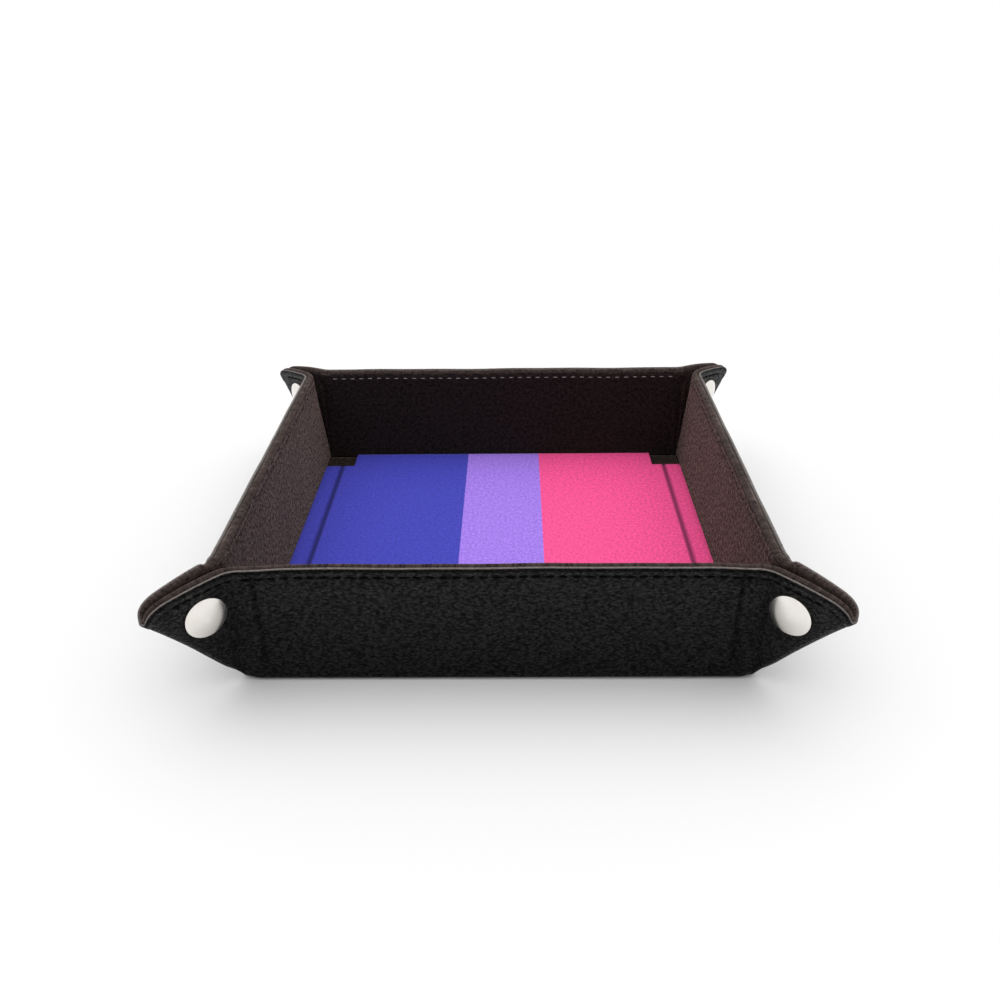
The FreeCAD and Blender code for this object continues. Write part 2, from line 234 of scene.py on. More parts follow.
def ear_half_columns(a, b):
    """From the board end of wall a, over the crease and along the ear half, to half-way round its fold.

    Also says how many of the columns come before the turn round the fold.
    """
    up, inner = wall_axes(a)
    corner = corner_point(a, b)
    end = EAR_RIM + CLIP_LENGTH
    path = np.concatenate([np.linspace(-BOARD_END, 4, 15), np.linspace(4, 22, 17)[1:],
                           np.linspace(22, 28, 10)[1:], np.linspace(28, end, 8)[1:]])

    def rounded(p):
        """The edge with its clipped corner softened."""
        width = 1.5 * np.exp(-((p - EAR_RIM) / 2.5) ** 2)
        total, weight = 0.0, 0.0
        for step in np.linspace(-2, 2, 9):
            w = math.exp(-step * step / 2)
            total, weight = total + w * sheet_edge(a, b, p + step * width)[0], weight + w
        return total / weight

    top = rounded(path)
    s, t = sheet_edge(a, b, path)[1:]
    tangent = rounded(np.minimum(path + 0.2, end)) - rounded(np.minimum(path + 0.2, end) - 0.4)
    down = unit(corner - top)
    normal = unit(np.cross(tangent, down))
    normal *= np.sign(normal[0] @ inner)
    sideways = unit(OUT[b] - OUT[a])
    middle = np.cross(down[-1], sideways)
    middle = unit(middle * np.sign(middle @ UP))
    # half of the turn round the fold: the place stays, the normal swings
    fan = np.linspace(0, 1, 11)[1:]
    start = math.atan2(float(normal[-1] @ sideways), float(normal[-1] @ middle))
    swing = (start * (1 - fan))[:, None]
    fan_normal = np.cos(swing) * middle + np.sin(swing) * sideways
    m = len(fan)
    # where each column meets the base: along the wall's fold, then round the corner
    s_base = np.interp(path, [-BOARD_END, -2.0, 4.0, end], [-BOARD_END, -2.2, -0.5, -0.05])
    s_base = np.concatenate([s_base, np.zeros(m)])
    turned = np.concatenate([0.12 * ease(path, 4.0, end), 0.12 + 0.88 * ease(fan, 0, 1)])[:, None]
    base = corner + np.outer(s_base, OUT[b])
    base_out = unit(-inner * (1 - turned) - middle * turned)
    inside = corner - (OUT[a] + OUT[b]) * 1.3 + UP * LINING_FLOOR
    reach = np.interp(path, [-BOARD_END, -0.5, 6.0], [0, 0.9, 1.0])
    reach = np.concatenate([reach, np.ones(m)])[:, None]
    s_floor = np.minimum(s_base, -1.2)
    floor = corner + np.outer(s_floor, OUT[b]) + inner * LINING_FACE + up * LINING_FLOOR
    floor = floor * (1 - reach) + inside * reach
    all_s = np.concatenate([s, np.full(m, EAR_FOLD)])
    all_t = np.concatenate([t, np.full(m, EAR_FOLD)])
    spread = np.concatenate([np.zeros(len(path)), fan * 3.6 / math.sqrt(2)])
    flat_corner = (OUT[a] + OUT[b])[:2] * FOLD
    flat_top = flat_corner + np.outer(all_t - spread, OUT[a][:2]) + np.outer(all_s + spread, OUT[b][:2])
    flat_base = flat_corner + np.outer(s_base + spread, OUT[b][:2]) - np.outer(spread, OUT[a][:2])
    fold_share = np.concatenate([ease(path, 12.0, end), np.ones(m)])
    return {
        "top": np.concatenate([top, np.repeat(top[-1:], m, 0)]),
        "normal": np.concatenate([normal, fan_normal]),
        "base": base,
        "base_out": base_out,
        "floor": floor,
        "flat_top": flat_top,
        "flat_base": flat_base,
        "along": np.concatenate([path, np.full(m, end)]),
        "soft": np.concatenate([ease(path, -3.5, 5.0), np.ones(m)]),
        "fold": fold_share,
        "bow": np.outer(fold_share * FOLD_BOW, middle),
    }, len(path)


# ---------------------------------------------------------------- skins


def unevenness(flat):
    x, y = flat[..., 0], flat[..., 1]
    return (0.06 * np.sin(x / 9.1 + 1.3 * np.sin(y / 13.7)) + 0.05 * np.sin(y / 6.3 + x / 17.9 + 1.7)
            + 0.03 * np.sin((x + 1.7 * y) / 4.7))


def wrinkles(along, depth, length):
    """Creases pressed into the leatherette where the ear leaves the wall."""
    place = np.exp(-((along - 2.0) / 4.2) ** 2)
    place = place * ease(depth, 5, 12) * (1 - ease(depth, length - 9, length - 2))
    wave = np.sin(depth * 1.55 + along * 1.1 + 1.3 * np.sin(depth * 0.43))
    wave = wave + 0.6 * np.sin(depth * 2.3 - along * 0.8)
    return place * wave * WRINKLE_HEIGHT


def leather_roll(c):
    """Radius of the leatherette's rolled rim."""
    return (0.40 - 0.03 * c["soft"])[:, None]


def leather_skin(c):
    """Rows of the leatherette: turned hem, rolled rim, stitched band, face and bottom bend."""
    roll = leather_roll(c)
    top = c["top"] - c["normal"] * HEIGHT
    foot = c["base"] + c["base_out"] * HEIGHT
    length = np.linalg.norm(foot - top, axis=1)[:, None]
    down = (foot - top) / length
    angle = np.linspace(0, math.pi, ROLL_ROWS)[None]
    depth = [hem + 0 * roll for hem in HEM_ROWS] + [roll - roll * np.sin(angle)]
    height = [2 * roll for _ in HEM_ROWS] + [roll + roll * np.cos(angle)]
    run = [-hem - 3.14 * roll for hem in HEM_ROWS] + [roll * (angle - math.pi)]
    band = LEATHER_BAND[None] + 0 * roll
    face = LEATHER_BAND[-1] + (length - LEATHER_BAND[-1]) * np.linspace(0, 1, 27)[None, 1:]
    for d in (band, face):
        depth.append(d)
        height.append(0 * d)
        run.append(d)
    depth, height, run = (np.concatenate(rows, axis=1) for rows in (depth, height, run))
    on_face = np.arange(depth.shape[1])[None] >= FIRST_FACE_ROW
    flat_down = unit(c["flat_base"] - c["flat_top"])
    flat = c["flat_top"][:, None] + flat_down[:, None] * run[..., None]
    along = c["along"][:, None]
    raised = 0.18 * (1 - ease(depth, 2.6, 4.2)) - 0.30 * np.exp(-((depth - STITCH_DROP) / 0.42) ** 2)
    inside = ease(depth, 3.5, 9) * (1 - ease(depth, length - 8, length - 1))
    pressed = -0.42 * np.exp(-((along + PRESSED_END) / 0.9) ** 2) * inside
    pressed += 0.16 * np.exp(-((along + PRESSED_END + 2.2) / 1.3) ** 2) * inside
    bulge = raised + (unevenness(flat) + wrinkles(along, depth, length)) * inside + pressed
    bulge = np.where(on_face, bulge, raised * (height < roll))
    share = np.clip(depth / length, 0, 1)
    bow = c["bow"][:, None] * (4 * share * (1 - share))[..., None]
    points = top[:, None] + down[:, None] * depth[..., None] + bow
    points = points + c["normal"][:, None] * (height - bulge)[..., None]
    # round the bottom edge on to the underside
    bend = np.linspace(0, 1, 7)[1:]
    swing = np.arccos(np.clip(-(c["base_out"] @ UP), -1, 1))[:, None]
    ring = (np.sin((1 - bend) * swing)[..., None] * c["base_out"][:, None]
            - np.sin(bend * swing)[..., None] * UP) / np.sin(swing)[..., None]
    inward = -unit(c["base_out"] * (1 - UP))
    end = c["base"] - UP * (HEIGHT - TUCK_RISE) + inward * 0.6
    points = np.concatenate([points, c["base"][:, None] + ring * HEIGHT, end[:, None]], axis=1)
    tail = flat[:, -1:] + flat_down[:, None] * (np.append(bend, 1.16) * BEND_RUN)[None, :, None]
    return points, np.concatenate([flat, tail], axis=1) / SHEET_UV, -c["normal"]


def lining_skin(c):
    """Rows of the lining: its rolled edge inside the rim, then its face down to the base lining."""
    seam = 2 * leather_roll(c) - HEIGHT + 0.04
    roll = (1.43 - 0.05 * c["soft"] - 0.61 * c["fold"])[:, None]
    angle = np.linspace(0, math.pi, ROLL_ROWS)[None]
    drop = (0.25 - 0.60 * c["soft"])[:, None]
    face_top = seam + 2 * roll
    top = c["top"] + c["normal"] * face_top
    length = np.linalg.norm(c["floor"] - top, axis=1)[:, None]
    down = (c["floor"] - top) / length
    outer_down = unit(c["base"] - c["top"])
    depth = np.concatenate([2.4 + 0 * roll, drop + roll - roll * np.sin(angle)], axis=1)
    height = np.concatenate([seam + 0 * roll, seam + roll - roll * np.cos(angle)], axis=1)
    edge = (c["top"][:, None] + c["normal"][:, None] * height[..., None]
            + outer_down[:, None] * depth[..., None])
    face = LINING_BAND[-1] + (length - LINING_BAND[-1]) * np.linspace(0, 1, 25)[None, 1:]
    below = np.concatenate([LINING_BAND[None] + 0 * roll, face], axis=1)
    flat_down = unit(c["flat_base"] - c["flat_top"])
    run = np.concatenate([depth - 3, below], axis=1)
    flat = c["flat_top"][:, None] + flat_down[:, None] * run[..., None]
    inside = ease(below, 3, 8) * (1 - ease(below, length - 8, length))
    relief = 0.6 * unevenness(flat[:, -below.shape[1]:] * 1.3 + 7) * inside
    relief = relief * (1 - ease(c["fold"], 0.6, 1))[:, None]
    relief -= 0.08 * np.exp(-((below - STITCH_DROP - 0.2) / 0.35) ** 2) * (1 - c["fold"][:, None])
    share = np.clip(below / length, 0, 1)
    # below its padded edge the lining of an ear lies down on the leatherette
    lying = LINING_FACE - (LINING_FACE + 0.62) * c["soft"][:, None]
    relief += np.minimum(lying - face_top, 0) * ease(below, 2.5, 9) * (1 - share)
    bow = c["bow"][:, None] * (4 * share * (1 - share))[..., None]
    points = top[:, None] + down[:, None] * below[..., None] + bow
    points = points + c["normal"][:, None] * relief[..., None]
    return np.concatenate([edge, points], axis=1), flat / SHEET_UV, c["normal"]


def round_corners(points):
    """Rounds the corners of the base in plan and lifts them a little off the table."""
    inner = FOLD + HEIGHT - CORNER_ROUND
    over = np.clip(np.abs(points[..., :2]) - inner, 0, None)
    radius = np.maximum(np.linalg.norm(over, axis=-1), 1e-9)
    short = np.minimum(radius - over.max(axis=-1), 0.42 * CORNER_ROUND)
    fade = 1 - ease(points[..., 2], 0, 10)
    moved = points.copy()
    moved[..., :2] -= np.sign(points[..., :2]) * over / radius[..., None] * (short * fade)[..., None]
    apart = np.linalg.norm(np.abs(points[..., :2]) - FOLD - HEIGHT, axis=-1)
    moved[..., 2] += 0.25 * (1 - ease(apart, 0, 8.5)) * fade
    return moved


def soften(points, corner, along):
    """Relaxes the leatherette round the corner of the base."""
    away = np.linalg.norm(points - corner, axis=2)
    loose = 1 - ease(away, 6, 15)
    ends = ease(along, -BOARD_END + 0.3, 0.5)
    loose = loose * ends[:, None] * 0.5
    loose[[0, -1]] = 0
    loose[:, -2:] = 0
    loose[:, :FIRST_FACE_ROW + 1] = 0
    for _ in range(30):
        mean = points.copy()
        mean[1:-1, 1:-1] = (points[2:, 1:-1] + points[:-2, 1:-1]
                            + points[1:-1, 2:] + points[1:-1, :-2]) / 4
        points = points + (mean - points) * loose[..., None]
    return points


def stitch_run(places, tangents, outwards, length=STITCH_LENGTH, thick=STITCH_THICK):
    """Stitches as flattened, sagging sausages that dive into the sheet at both ends."""
    grids = []
    station = np.linspace(-1, 1, 7)
    size = thick * np.sqrt(np.clip(1 - station ** 4, 0.02, 1))
    lift = 0.16 - 0.42 * station ** 4
    angle = np.linspace(0, 2 * math.pi, 9)
    for place, tangent, outward in zip(places, tangents, outwards):
        side = np.cross(tangent, outward)
        centre = place + np.outer(station * length / 2, tangent) + np.outer(lift, outward)
        ring = np.cos(angle)[None, :, None] * side * 0.9 + np.sin(angle)[None, :, None] * outward
        twist = 1 + 0.10 * np.sin(station[:, None] * 9 + angle[None] * 1.0)
        points = centre[:, None] + ring * (size[:, None] * twist)[..., None]
        uv = np.stack(np.meshgrid(station * 0.005, angle * 0.0005, indexing="ij"), axis=2)
        grids.append((points, uv + 0.5, np.repeat(outward[None], len(station), 0)))
    return grids


# ---------------------------------------------------------------- materials


def new_material(name):
    material = bpy.data.materials.new(name)
    material.use_nodes = True
    tree = material.node_tree
    return material, tree, tree.nodes["Principled BSDF"]


class Nodes:
    """Short names for adding nodes to a tree."""

    def __init__(self, tree):
        self.tree = tree

    def add(self, kind, values=None, **settings):
        node = self.tree.nodes.new(kind)
        for key, value in settings.items():
            setattr(node, key, value)
        for key, value in (values or {}).items():
            if isinstance(value, bpy.types.NodeSocket):
                self.tree.links.new(value, node.inputs[key])
            else:
                node.inputs[key].default_value = value
        return node

    def sheet_mm(self, x_scale=SHEET_UV, y_scale=SHEET_UV):
        """Position on the flat sheet, in millimetres unless a pattern is to be stretched."""
        uv = self.add("ShaderNodeUVMap", uv_map="sheet").outputs[0]
        return self.multiply(uv, (x_scale, y_scale, 1.0))

    def multiply(self, vector, factors):
        return self.add("ShaderNodeVectorMath", {0: vector, 1: factors}, operation="MULTIPLY").outputs[0]

    def split(self, vector):
        return self.add("ShaderNodeSeparateXYZ", {0: vector}).outputs

    def distance_from(self, value, place):
        return self.math("ABSOLUTE", self.math("SUBTRACT", value, place), 0.0)

    def noise(self, vector, scale, detail=2.0, rough=0.5):
        return self.add("ShaderNodeTexNoise", {"Vector": vector, "Scale": scale, "Detail": detail,
                                               "Roughness": rough}).outputs["Fac"]

    def ramp(self, value, low, high, to_low=0.0, to_high=1.0):
        return self.add("ShaderNodeMapRange", {"Value": value, "From Min": low, "From Max": high,
                                               "To Min": to_low, "To Max": to_high}).outputs["Result"]

    def math(self, operation, a, b):
        return self.add("ShaderNodeMath", {0: a, 1: b}, operation=operation).outputs[0]

    def mix(self, factor, a, b):
        node = self.add("ShaderNodeMix", data_type="RGBA")
        for key, value in ((0, factor), (6, a), (7, b)):
            if isinstance(value, bpy.types.NodeSocket):
                self.tree.links.new(value, node.inputs[key])
            else:
                node.inputs[key].default_value = value
        return node.outputs[2]

    def bump(self, height, strength, distance, below=None):
        values = {"Height": height, "Strength": strength, "Distance": distance}
        if below is not None:
            values["Normal"] = below
        return self.add("ShaderNodeBump", values).outputs[0]

    def beyond_edge(self):
        """Distance beyond the edge of the flat sheet, then the larger and smaller flat coordinate."""
        flat = self.add("ShaderNodeVectorMath", {0: self.sheet_mm()}, operation="ABSOLUTE").outputs[0]
        x, y, _ = self.split(flat)
        most, least = self.math("MAXIMUM", x, y), self.math("MINIMUM", x, y)
        # beyond the ears' cut corners; the two coordinates' sum grows faster than the distance
        clipped = self.math("SUBTRACT", self.math("ADD", most, least), 2 * (FOLD + EAR_FOLD))
        side = self.math("SUBTRACT", most, FOLD + SLANT)
        return self.math("MAXIMUM", side, self.math("MULTIPLY", clipped, 0.7)), most, least

    def link(self, socket, target):
        self.tree.links.new(socket, target)


def leather_material():
    material, tree, shader = new_material("leatherette")
    n = Nodes(tree)
    sheet = n.sheet_mm(215, 320)
    drift = n.add("ShaderNodeTexNoise", {"Vector": sheet, "Scale": 0.45, "Detail": 2.0}).outputs["Color"]
    moved = n.add("ShaderNodeVectorMath", {0: drift, 1: (2.6, 2.6, 2.6), 2: sheet},
                  operation="MULTIPLY_ADD").outputs[0]
    pebble = n.add("ShaderNodeTexVoronoi", {"Vector": moved, "Scale": 0.85, "Smoothness": 0.5},
                   feature="SMOOTH_F1").outputs["Distance"]
    wrinkle = n.noise(n.sheet_mm(200, 400), 0.9, 3.0, 0.65)
    fine = n.noise(sheet, 3.0, 3.0, 0.6)
    broad = n.noise(sheet, 0.05, 3.0, 0.55)
    # dark where two pebbles meet and along the wrinkles
    valleys = n.math("ADD", n.ramp(pebble, 0.15, 0.65, 0.0, 0.5), n.ramp(wrinkle, 0.32, 0.68, 0.5, 0.0))
    beyond, most, least = n.beyond_edge()
    # painted shade darker toward the base, painted highlight on the hem band under the rim, painted shade
    # in the seam under the roll and in the pressed lines
    painted_shade_and_hem_highlight = n.math("ADD", n.ramp(beyond, -46.0, -8.0, 0.36, 0.88), n.ramp(beyond, -4.6, -2.6, 0.0, 0.5))
    seam = n.math("MULTIPLY", n.ramp(beyond, -2.2, -0.9), n.ramp(beyond, 0.0, 0.35, 1.0, 0.0))
    pressed = n.ramp(n.distance_from(least, FOLD - PRESSED_END), 0.3, 1.3, 1.0, 0.0)
    pressed = n.math("MULTIPLY", pressed, n.ramp(most, FOLD + 3, FOLD + 9))
    shade = n.math("MULTIPLY", painted_shade_and_hem_highlight, n.math("SUBTRACT", 1.0, n.math("MULTIPLY", seam, 0.75)))
    shade = n.math("MULTIPLY", shade, n.math("SUBTRACT", 1.0, n.math("MULTIPLY", pressed, 0.45)))
    # painted shade along the groove of the stitch row
    stitched = n.ramp(n.distance_from(beyond, -STITCH_DROP), 0.15, 0.75, 0.22, 0.0)
    shade = n.math("MULTIPLY", shade, n.math("SUBTRACT", 1.0, stitched))
    colour = n.mix(valleys, (0.0100, 0.0098, 0.0100, 1), (0.0008, 0.0008, 0.0008, 1))
    colour = n.mix(n.ramp(broad, 0.35, 0.7, 0.0, 0.25), colour, (0.0065, 0.0063, 0.0065, 1))
    # painted highlight along the top of the leatherette's rolled rim
    rim = n.math("MULTIPLY", n.ramp(beyond, 0.10, 0.40), n.ramp(fine, 0.25, 0.6, 0.35, 1.0))
    colour = n.mix(rim, colour, (0.160, 0.136, 0.128, 1))
    n.link(n.mix(shade, (0.0, 0.0, 0.0, 1), colour), shader.inputs["Base Color"])
    rough = n.math("ADD", n.ramp(valleys, 0, 1, 0.28, 0.44), n.ramp(fine, 0.3, 0.7, -0.05, 0.06))
    n.link(rough, shader.inputs["Roughness"])
    # the painted shade also lowers the gloss
    gloss = n.math("MULTIPLY", shade, n.ramp(valleys, 0.15, 0.85, 0.38, 0.05))
    n.link(gloss, shader.inputs["Specular IOR Level"])
    low = n.bump(fine, 0.45, 0.00015)
    n.link(n.bump(n.math("SUBTRACT", 1.0, valleys), 1.0, 0.0008, low), shader.inputs["Normal"])
    return material


def velvet_material():
    material, tree, shader = new_material("velvet")
    n = Nodes(tree)
    sheet = n.sheet_mm()
    pile = n.noise(sheet, 0.75, 4.0, 0.8)
    tuft = n.noise(sheet, 0.5, 3.0, 0.6)
    brushed = n.noise(n.sheet_mm(40, 90), 0.35, 3.0, 0.5)
    colour = n.mix(n.ramp(pile, 0.40, 0.60), (0.0018, 0.0011, 0.0011, 1), (0.0180, 0.0117, 0.0114, 1))
    colour = n.mix(n.ramp(brushed, 0.38, 0.66, 0.0, 0.25), colour, (0.013, 0.0090, 0.0090, 1))
    # painted highlight: the lining is coloured lighter on its rolled edge near the rim
    painted_rim_highlight = n.mix(n.ramp(pile, 0.36, 0.62), (0.016, 0.011, 0.010, 1), (0.090, 0.067, 0.060, 1))
    near_rim = n.ramp(n.beyond_edge()[0], -4.5, 0.5, 0.0, 0.38)
    colour = n.mix(near_rim, colour, painted_rim_highlight)
    n.link(colour, shader.inputs["Base Color"])
    shader.inputs["Roughness"].default_value = 0.92
    shader.inputs["Specular IOR Level"].default_value = 0.10
    n.link(n.ramp(pile, 0.40, 0.60, 0.05, 0.80), shader.inputs["Sheen Weight"])
    shader.inputs["Sheen Roughness"].default_value = 0.30
    shader.inputs["Sheen Tint"].default_value = (0.71, 0.50, 0.44, 1)
    low = n.bump(tuft, 0.5, 0.0003)
    n.link(n.bump(pile, 0.9, 0.0003, low), shader.inputs["Normal"])
    return material


BLUE, PURPLE, PINK = (0.050, 0.052, 0.420, 1), (0.34, 0.190, 0.73, 1), (0.88, 0.080, 0.265, 1)
STRIPE_ENDS = (-16.0, 16.5)     # the purple stripe, from the middle of the mat


def mat_material():
    material, tree, shader = new_material("printed_microfibre")
    n = Nodes(tree)
    sheet = n.sheet_mm()
    across = n.split(sheet)[0]
    nap = n.noise(sheet, 0.95, 4.0, 0.8)
    smear = n.noise(n.sheet_mm(SHEET_UV, 120), 0.9, 3.0, 0.6)
    edge = n.math("ADD", across, n.ramp(nap, 0, 1, -0.12, 0.12))
    print_colour = n.mix(n.ramp(edge, STRIPE_ENDS[0] - 0.1, STRIPE_ENDS[0] + 0.1), BLUE, PURPLE)
    print_colour = n.mix(n.ramp(edge, STRIPE_ENDS[1] - 0.1, STRIPE_ENDS[1] + 0.1), print_colour, PINK)
    dark = n.multiply(print_colour, (0.50, 0.50, 0.57))
    # painted shade: a darker copy of the print, laid along the pressed grooves below
    pressed = n.multiply(print_colour, (0.16, 0.16, 0.22))
    speckle = n.math("ADD", n.ramp(nap, 0.38, 0.62, 0, 0.75), n.ramp(smear, 0.35, 0.65, 0, 0.25))
    colour = n.mix(speckle, dark, print_colour)
    off_groove = n.distance_from(n.math("ABSOLUTE", edge, 0.0), MAT_HALF - MAT_GROOVE)
    colour = n.mix(n.ramp(off_groove, 0.35, 1.6, 0.9, 0.0), colour, pressed)
    n.link(colour, shader.inputs["Base Color"])
    shader.inputs["Roughness"].default_value = 0.85
    shader.inputs["Specular IOR Level"].default_value = 0.15
    shader.inputs["Sheen Weight"].default_value = 0.06
    shader.inputs["Sheen Roughness"].default_value = 0.45
    low = n.bump(smear, 0.25, 0.00015)
    n.link(n.bump(nap, 0.5, 0.00012, low), shader.inputs["Normal"])
    return material


def nickel_material():
    material, tree, shader = new_material("polished_nickel")
    n = Nodes(tree)
    place = n.add("ShaderNodeTexCoord").outputs["Object"]
    haze = n.noise(place, 260.0, 4.0, 0.6)
    scuff = n.noise(place, 2600.0, 2.0, 0.5)
    colour = n.mix(n.ramp(haze, 0.3, 0.7), (0.80, 0.765, 0.715, 1), (0.87, 0.84, 0.80, 1))
    n.link(colour, shader.inputs["Base Color"])
    n.link(n.math("ADD", n.ramp(haze, 0.3, 0.7, 0.14, 0.22), n.ramp(scuff, 0.45, 0.75, 0.0, 0.05)),
           shader.inputs["Roughness"])
    shader.inputs["Metallic"].default_value = 1.0
    n.link(n.bump(haze, 0.05, 0.0003), shader.inputs["Normal"])
    return material


def thread_material(name, light, dark):
    material, tree, shader = new_material(name)
    n = Nodes(tree)
    place = n.add("ShaderNodeTexCoord").outputs["Object"]
    ply = n.add("ShaderNodeTexWave", {"Vector": place, "Scale": 900.0, "Distortion": 1.5, "Detail": 2.0},
                bands_direction="DIAGONAL").outputs["Fac"]
    n.link(n.mix(ply, dark, light), shader.inputs["Base Color"])
    shader.inputs["Roughness"].default_value = 0.7
    shader.inputs["Specular IOR Level"].default_value = 0.03
    n.link(n.bump(ply, 0.5, 0.0001), shader.inputs["Normal"])
    return material


def board_material():
    material, tree, shader = new_material("fibreboard")
    n = Nodes(tree)
    place = n.add("ShaderNodeTexCoord").outputs["Object"]
    fibre = n.noise(place, 900.0, 5.0, 0.7)
    n.link(n.mix(fibre, (0.16, 0.13, 0.10, 1), (0.34, 0.29, 0.23, 1)), shader.inputs["Base Color"])
    shader.inputs["Roughness"].default_value = 0.9
    n.link(n.bump(fibre, 0.4, 0.0002), shader.inputs["Normal"])
    return material


LEATHER, VELVET, MAT, NICKEL = leather_material(), velvet_material(), mat_material(), nickel_material()
BLACK_THREAD = thread_material("black_thread", (0.0020, 0.0020, 0.0022, 1), (0.0005, 0.0005, 0.0005, 1))
BROWN_THREAD = thread_material("brown_thread", (0.042, 0.032, 0.032, 1), (0.020, 0.014, 0.014, 1))
GREY_THREAD = thread_material("grey_thread", (0.26, 0.24, 0.24, 1), (0.09, 0.08, 0.08, 1))
BOARD = board_material()

# ---------------------------------------------------------------- corners

strips = {side: [] for side in OUT}     # what lies past the open creases, for each wall's own skins


def ear_stitches(name, columns, line):
    """Stitches along the rim of an ear half; line is the leatherette's row under them."""
    spots = np.arange(1.0, EAR_RIM - 2, STITCH_PITCH)
    along = columns["along"][:len(line)]

    def at(where, values):
        return np.stack([np.interp(where, along, values[:len(line), k]) for k in range(3)], axis=1)

    place = at(spots, line)
    ahead = at(spots + 0.5, line)
    normal = unit(at(spots, columns["normal"]))
    return mesh_piece(name, stitch_run(place, unit(ahead - place), -normal), BLACK_THREAD)


def make_corner(name, a, b):
    """A corner's skins, made as one and cut at the creases, with the stitches of both ear halves."""
    half_a, count = ear_half_columns(a, b)
    half_b, _ = ear_half_columns(b, a)
    n = len(half_a["top"])
    whole = join(half_a, part_of(backwards(half_b), 1, n))
    open_crease = int(np.argmin(np.abs(whole["along"][n:]))) + n
    corner = corner_point(a, b)
    leather, leather_uv, out = leather_skin(whole)
    leather = round_corners(soften(leather, corner, whole["along"]))
    lining, lining_uv, inner = lining_skin(whole)
    tail = slice(open_crease, None)
    strips[b].append(((leather[tail], leather_uv[tail], out[tail]),
                      (lining[tail], lining_uv[tail], inner[tail])))
    body_a, body_b = "%s_ear_%s" % (name, a), "%s_ear_%s" % (name, b)
    first, second = slice(0, count), slice(count - 1, open_crease + 1)
    for label, points, uv, outward, material, slot_name, window in (
            ("cover", leather, leather_uv, out, LEATHER, "leatherette", COVER_WINDOW),
            ("lining", lining, lining_uv, inner, VELVET, "velvet_lining", LINING_WINDOW)):
        piece_a = mesh_piece("%s_soft_%s" % (body_a, label),
                             [(points[first], uv[first], outward[first])], material)
        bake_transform(piece_a)
        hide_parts("%s_%s" % (body_a, label))
        piece_b = mesh_piece("%s_soft_%s" % (body_b, label),
                             [(points[second], uv[second], outward[second])], material)
        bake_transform(piece_b)
        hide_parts("%s_%s" % (body_b, label))
        if label == "cover":
            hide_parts(name + "_ear_fold")
    piece = ear_stitches(body_a + "_stitches", half_a, leather[:count, STITCH_ROW])
    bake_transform(piece)
    piece = ear_stitches(body_b + "_stitches", half_b, leather[::-1][:count, STITCH_ROW])
    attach(piece, body_b)


CREASE_WINDOW, COVER_WINDOW, LINING_WINDOW = 3.0, 1.2, 0.12
for corner_name, (wall_a, wall_b) in CORNERS.items():
    make_corner(corner_name, wall_a, wall_b)

# ---------------------------------------------------------------- walls


def wall_stitches(side, columns):
    """The rim's stitches, outside and inside."""
    toward = OUT[RUNS_TOWARD[side]]
    up, normal = wall_axes(side)
    x = np.arange(-19, 20) * STITCH_PITCH
    lift = np.interp(x, columns["x"], (columns["top"] - columns["base"]) @ up)
    base = OUT[side] * FOLD + UP * HEIGHT + x[:, None] * toward
    tangents = np.repeat(toward[None], len(x), 0)
    places = base + up * (lift - STITCH_DROP)[:, None] - normal * (HEIGHT - 0.02)
    outer = stitch_run(places, tangents, np.repeat(-normal[None], len(x), 0))
    places = base + up * (lift - STITCH_DROP - 0.2)[:, None] + normal * (LINING_FACE - 0.1)
    inner = stitch_run(places, tangents, np.repeat(normal[None], len(x), 0), length=2.2, thick=0.26)
    stitches = mesh_piece(side + "_rim_stitches", outer, BLACK_THREAD)
    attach(stitches, side + "_wall")
    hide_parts(side + "_rim_thread")
    thread = GREY_THREAD if side == "rear" else BROWN_THREAD
    inside = mesh_piece(side + "_inner_stitches", inner, thread)
    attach(inside, side + "_wall")


def make_wall(side):
    """A wall's skins, each with the strips past its open creases, and its stitches."""
    columns = wall_columns(side, RUNS_TOWARD[side])
    leather, leather_uv, out = leather_skin(columns)
    covers = [(round_corners(leather), leather_uv, out)] + [strip[0] for strip in strips[side]]
    linings = [lining_skin(columns)] + [strip[1] for strip in strips[side]]
    cover = mesh_piece(side + "_wall_soft_cover", covers, LEATHER)
    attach(cover, side + "_wall")
    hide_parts(side + "_wall_cover", side + "_hinge_strip")
    velvet = mesh_piece(side + "_wall_soft_lining", linings, VELVET)
    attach(velvet, side + "_wall")
    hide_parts(side + "_wall_lining")
    wall_stitches(side, columns)


for wall_side in RUNS_TOWARD:
    make_wall(wall_side)

# ---------------------------------------------------------------- base and mat


def flat_grid(line, height):
    """A level square grid whose columns and rows stand at the places in line."""
    x, y = np.meshgrid(line, line, indexing="ij")
    points = np.stack([x, y, height(x, y) + 0 * x], axis=2)
    return points, points[..., :2] / SHEET_UV


def make_underside():
    """The leatherette under the base, ending just inside the walls' leatherette."""
    line = np.linspace(0.3 - FOLD, FOLD - 0.3, 42)
    points, uv = flat_grid(line, lambda x, y: 0 * x)
    outward = np.repeat(-UP[None], len(line), 0)
    under = mesh_piece("base_soft_cover", [(round_corners(points), uv, outward)], LEATHER)
    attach(under, "tray_base")
    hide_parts("base_cover")


def make_base_lining():
    """The lining of the base, with its edge turned down."""
    line = np.concatenate([[-80.2, -80.1, -79.8], np.linspace(-79, 79, 64), [79.8, 80.1, 80.2]])

    def edge_drop(v):
        return 0.7 * (1 - np.sqrt(np.clip(1 - ((np.abs(v) - 79.4) / 0.8).clip(0, 1) ** 2, 0, 1)))

    def height(x, y):
        level = HEIGHT + LINING_FLOOR + 0.04 * unevenness(np.stack([x, y], 2))
        return level - np.maximum(edge_drop(x), edge_drop(y))

    points, uv = flat_grid(line, height)
    outward = np.repeat(UP[None], len(line), 0)
    lining = mesh_piece("base_soft_lining", [(points, uv, outward)], VELVET)
    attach(lining, "tray_base")
    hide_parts("base_lining")


